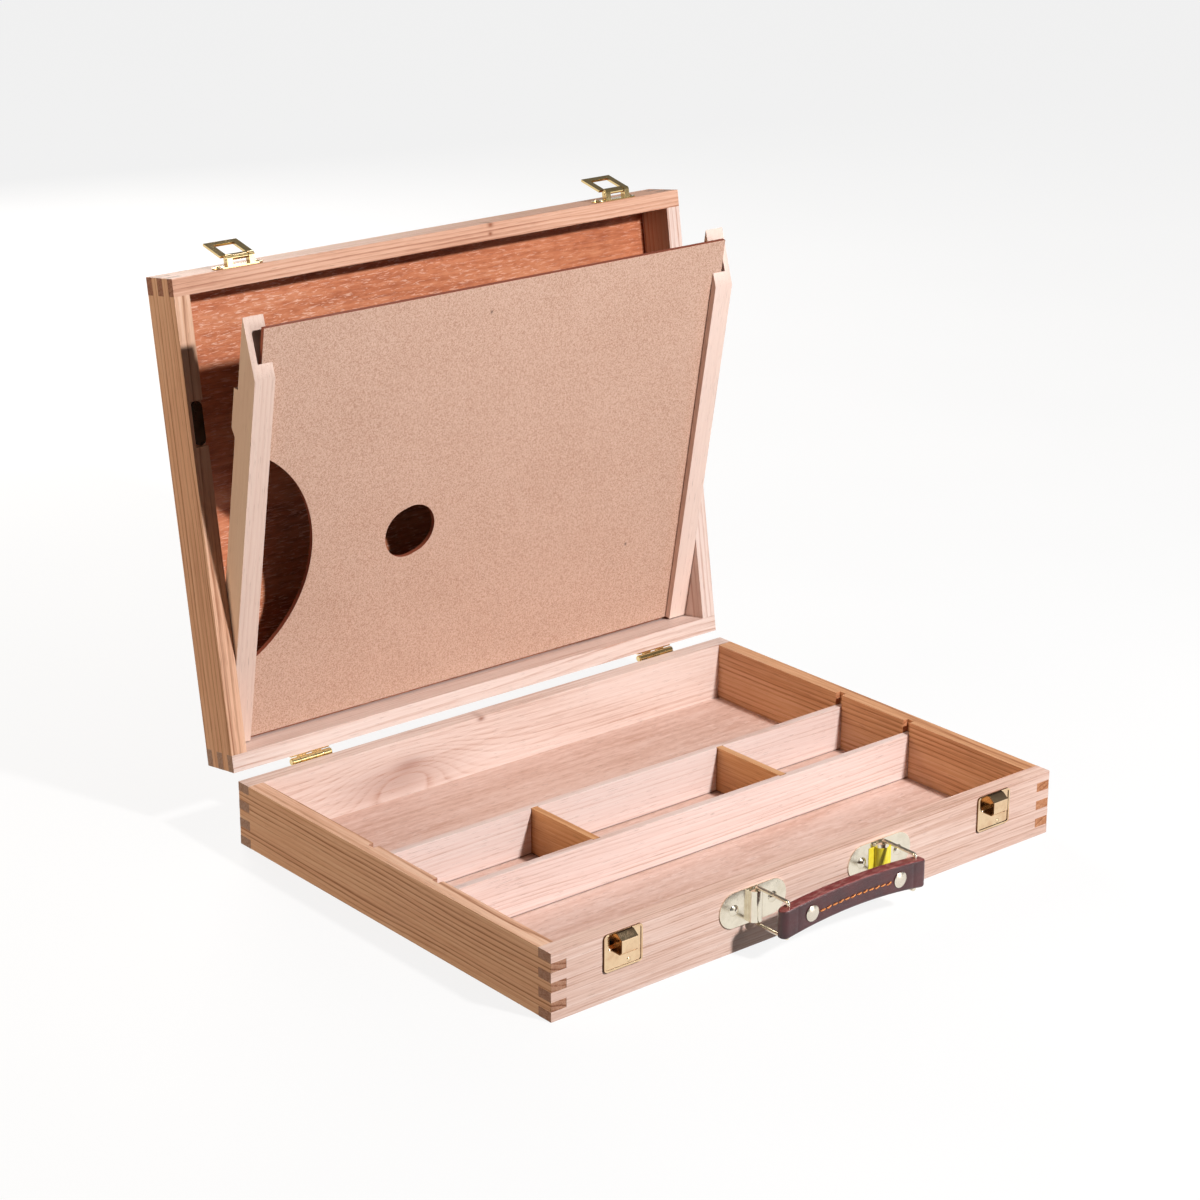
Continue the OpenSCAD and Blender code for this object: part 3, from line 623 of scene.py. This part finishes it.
def finish_node(name, material, edge):
    """Gives a CAD node its material and softly broken edges.

    Its mesh stays as the frame has it: every change to the shape is a modifier.
    """
    node = nodes[name]
    for slot in node.material_slots:
        slot.material = material
    stored = node.modifiers.new("plain_normals", "NODES")
    stored.node_group = PLAIN
    weld = node.modifiers.new("weld", "WELD")
    weld.merge_threshold = 1e-6
    flat = node.modifiers.new("flat_faces", "DECIMATE")
    flat.decimate_type = "DISSOLVE"
    flat.angle_limit = math.radians(0.5)
    if edge:
        bevel = node.modifiers.new("broken_edges", "BEVEL")
        bevel.width = edge
        bevel.segments = 2
        bevel.limit_method = "ANGLE"
        bevel.angle_limit = SHARP
    smooth = node.modifiers.new("shading", "NODES")
    smooth.node_group = SHALLOW
    normals = node.modifiers.new("flat_normals", "WEIGHTED_NORMAL")
    normals.keep_sharp = True


# Wood tones, each light, middle and dark, in display values
PINK = ((233, 215, 207), (223, 199, 188), (186, 140, 120))
FRONT = ((233, 206, 194), (219, 184, 168), (174, 126, 104))
WARM = ((238, 202, 176), (223, 177, 147), (160, 108, 78))
# The lid's top wall tone is darker and more orange than PINK: painted shade for that less lit
# wall
RIM = ((228, 186, 162), (210, 160, 134), (162, 106, 80))
PALE = ((231, 214, 208), (223, 199, 191), (190, 152, 134))
CREAM = ((230, 206, 192), (222, 194, 180), (200, 164, 144))
WHITE = ((238, 214, 202), (232, 206, 193), (214, 182, 164))
# The right wall's tone is warmer and darker than PINK: partly the board's own tone, partly
# painted shade for its inner face
SHADE = ((226, 182, 146), (208, 156, 116), (156, 100, 64))
# The cross dividers' tone is orange: painted shade for their left faces, which stand in shade
CROSS_PAINTED_SHADE = ((222, 174, 130), (206, 150, 102), (162, 104, 62))

# Height of the dividers' feet above the table, where a contact shadow is painted along them
FOOT = 3.1 * MM
# How far the edges are broken: solid wood, thin ply, the palette and metal
WOOD_EDGE = 0.35 * MM
PLY_EDGE = 0.15 * MM
PALETTE_EDGE = 0.25 * MM
METAL_EDGE = 0.12 * MM

woods = {
    "base_front_wall": wood("wood_base_front", X, Z, FRONT, (0.30, 0.05), 0.0016, 0.34, 0.55),
    "base_rear_wall": wood("wood_base_rear", X, Z, PINK, (0.08, -0.20), 0.0030, 0.4, 0.4,
                           figures=[((-0.082, 0.143, 0.018), (0.050, 0.5, 0.017), 6)],
                           knots=[((-0.019, 0.143, 0.0405), (0.0030, 0.01, 0.0016), 0.8),
                                  ((-0.078, 0.143, 0.024), (0.0120, 0.01, 0.0040), 0.4),
                                  ((-0.088, 0.143, 0.016), (0.0420, 0.01, 0.0120), 0.42)]),
    "base_left_wall": wood("wood_base_left", Y, Z, WARM, (0.5, 0.0), 0.0030, 0.85, 0.4),
    # The right wall carries painted shade in its tone, and end_dark=0.8 paints its end grain
    # paler as a painted highlight on the bright front corner
    "base_right_wall": wood("wood_base_right", Y, Z, SHADE, (0.5, 0.0), 0.0034, 0.55, 0.4,
                            end_dark=0.8),
    "lid_front_wall": wood("wood_lid_front", X, LID_OUT, RIM, (0.03, 0.10), 0.0026, 0.5, 0.4,
                           knots=[((0.0398, 0.2020, 0.3492), (0.0022, 0.01, 0.0016), 0.9),
                                  ((0.0391, 0.2020, 0.3436), (0.0016, 0.01, 0.0012), 0.9)]),
    "lid_rear_wall": wood("wood_lid_rear", X, LID_OUT, PINK, (0.12, 0.05), 0.0028, 0.45, 0.4),
    "lid_left_wall": wood("wood_lid_left", LID_UP, LID_OUT, WARM, (0.4, 0.0), 0.0032, 0.6, 0.4),
    "lid_right_wall": wood("wood_lid_right", LID_UP, LID_OUT, PINK, (0.3, 0.0), 0.0030, 0.5, 0.4),
    "divider_rear": wood("wood_divider_rear", X, Z, PALE, (0.6, 0.02), 0.0030, 0.45, 0.3,
                         foot=FOOT),
    "divider_front": wood("wood_divider_front", X, Z, PALE, (0.5, 0.02), 0.0026, 0.5, 0.3,
                          foot=FOOT),
    # The cross dividers take the orange tone with painted shade in it
    "divider_cross_left": wood("wood_cross_left", Y, Z, CROSS_PAINTED_SHADE, (0.4, 0.1), 0.0030, 0.4, 0.3,
                               foot=FOOT),
    "divider_cross_right": wood("wood_cross_right", Y, Z, CROSS_PAINTED_SHADE, (0.5, 0.1), 0.0030, 0.4, 0.3,
                                foot=FOOT),
    "rail_left": wood("wood_rail_left", RAIL_UP, X, CREAM, (0.4, 0.2), 0.0034, 0.3, 0.25),
    "rail_right": wood("wood_rail_right", RAIL_UP, X, WHITE, (0.4, 0.2), 0.0034, 0.25, 0.2),
}
for name, material in woods.items():
    finish_node(name, material, WOOD_EDGE)

finish_node("base_bottom_panel",
            panel_ply("ply_base", X, Y, ((228, 200, 189), (219, 186, 172), (202, 162, 145)),
                      (70, 330), (238, 216, 208), 0.5), PLY_EDGE)
finish_node("lid_panel",
            panel_ply("ply_lid", X, LID_UP, ((214, 142, 104), (196, 118, 80), (164, 88, 56)),
                      (130, 900), (244, 204, 182), 0.62), PLY_EDGE)
finish_node("palette", hardboard("hardboard"), PALETTE_EDGE)

brass = metal("brass", (238, 210, 152), (176, 132, 70), 0.15)
# The catches' brass: faces turned away from Y get painted shade
polished = metal("polished_brass", (234, 204, 166), (190, 132, 92), 0.1, 0.45, Y)
nickel = metal("nickel", (232, 223, 204), (176, 160, 132), 0.17)
pale_metal = metal("pale_metal", (226, 216, 200), (168, 152, 132), 0.26)
bronze = metal("dark_bronze", (70, 60, 50), (30, 26, 22), 0.3, 0.5)
SLOT_METALS = {"brass": brass, "nickel": nickel, "pale_metal": pale_metal, "dark_bronze": bronze}

finish_node("paper_label", label("blank_label"), 0)

# All that is left is metal, but for the strap, which the modelled grip replaces
finished = set(woods) | {
    "base_bottom_panel", "lid_panel", "palette", "handle_strap", "paper_label"}
slots = {part["node"]: part["material_slot"] for part in frame["record"]["subparts"]}
for name in sorted(set(nodes) - finished):
    shiny = polished if name.startswith("catch_") else SLOT_METALS[slots[name]]
    finish_node(name, shiny, METAL_EDGE)

make("handle_leather", build_grip(), leather("leather"), "handle_grip",
     ["handle_strap"])
make("handle_stitching", build_stitches(), thread("thread"), "handle_grip")

# The floor glows a little, so that it stays pale where the lamps don't reach
FLOOR_GLOW = 0.86
FLOOR_HALF = 60
floor_shader = Shader("floor")
dust = floor_shader.noise(floor_shader.coords.outputs["Object"], (3, 3, 3), 2)
dusty = floor_shader.ramp(dust, [(0.3, srgb(84, 84, 84)), (0.7, srgb(90, 90, 90))])
floor_shader.set(Base_Color=dusty, Roughness=0.9,
                 Emission_Color=(1, 1, 1, 1), Emission_Strength=FLOOR_GLOW)
sheet = bmesh.new()
bmesh.ops.create_grid(sheet, x_segments=2, y_segments=2, size=FLOOR_HALF)
floor_data = bpy.data.meshes.new("floor")
sheet.to_mesh(floor_data)
sheet.free()
floor = bpy.data.objects.new("floor", floor_data)
floor_data.materials.append(floor_shader.material)
# The floor and the world show in reflections, but only the lamps light the object
floor.visible_diffuse = False
bpy.context.scene.collection.objects.link(floor)

world = bpy.data.worlds.new("studio")
bpy.context.scene.world = world
world.use_nodes = True
backdrop = world.node_tree.nodes["Background"]
backdrop.inputs["Color"].default_value = (1, 0.99, 0.97, 1)
backdrop.inputs["Strength"].default_value = 0.16
world.cycles_visibility.diffuse = False


def area_light(name, place, target, size, watts, tint):
    """A round soft lamp at a place, turned to a target."""
    lamp = bpy.data.lights.new(name, "AREA")
    lamp.shape = "DISK"
    lamp.size = size
    lamp.energy = watts
    lamp.color = tint
    lit = bpy.data.objects.new(name, lamp)
    lit.location = place
    lit.rotation_euler = (Vector(target) - Vector(place)).to_track_quat("-Z", "Y").to_euler()
    bpy.context.scene.collection.objects.link(lit)


# Name, place, target, width, watts and tint of each lamp
LAMPS = (
    ("key", (0.32, -1.43, 1.15), (0, 0, 0.1), 0.13, 39, (1, 0.98, 0.97)),
    ("top", (0.35, -0.25, 1.7), (0, 0, 0.1), 1.1, 2.6, (1, 0.98, 0.97)),
    ("front", (0.7, -1.7, 0.35), (0, -0.1, 0.05), 0.8, 5.5, (1, 0.98, 0.985)),
    ("back", (0.5, 1.8, 0.75), (0, 0.1, 0.15), 0.9, 20, (1, 0.93, 0.86)),
    ("fill", (-1.6, 0.45, 0.35), (-0.1, 0, 0.15), 0.7, 12, (1, 0.78, 0.54)),
)
for lamp in LAMPS:
    area_light(*lamp)

# The photographer's place, turn in degrees and focal length
CAMERA_PLACE = (-1.1212, -1.3019, 0.7770)
CAMERA_TURN = (70.188, -0.1, -39.741)
FOCAL_LENGTH = 90.04
SENSOR_WIDTH = 36

lens = bpy.data.cameras.new("camera")
lens.lens = FOCAL_LENGTH
lens.sensor_width = SENSOR_WIDTH
camera = bpy.data.objects.new("camera", lens)
camera.location = CAMERA_PLACE
camera.rotation_euler = [math.radians(turn) for turn in CAMERA_TURN]
bpy.context.scene.collection.objects.link(camera)
bpy.context.scene.camera = camera
bpy.context.scene.view_settings.view_transform = "Standard"
bpy.context.scene.view_settings.look = "None"
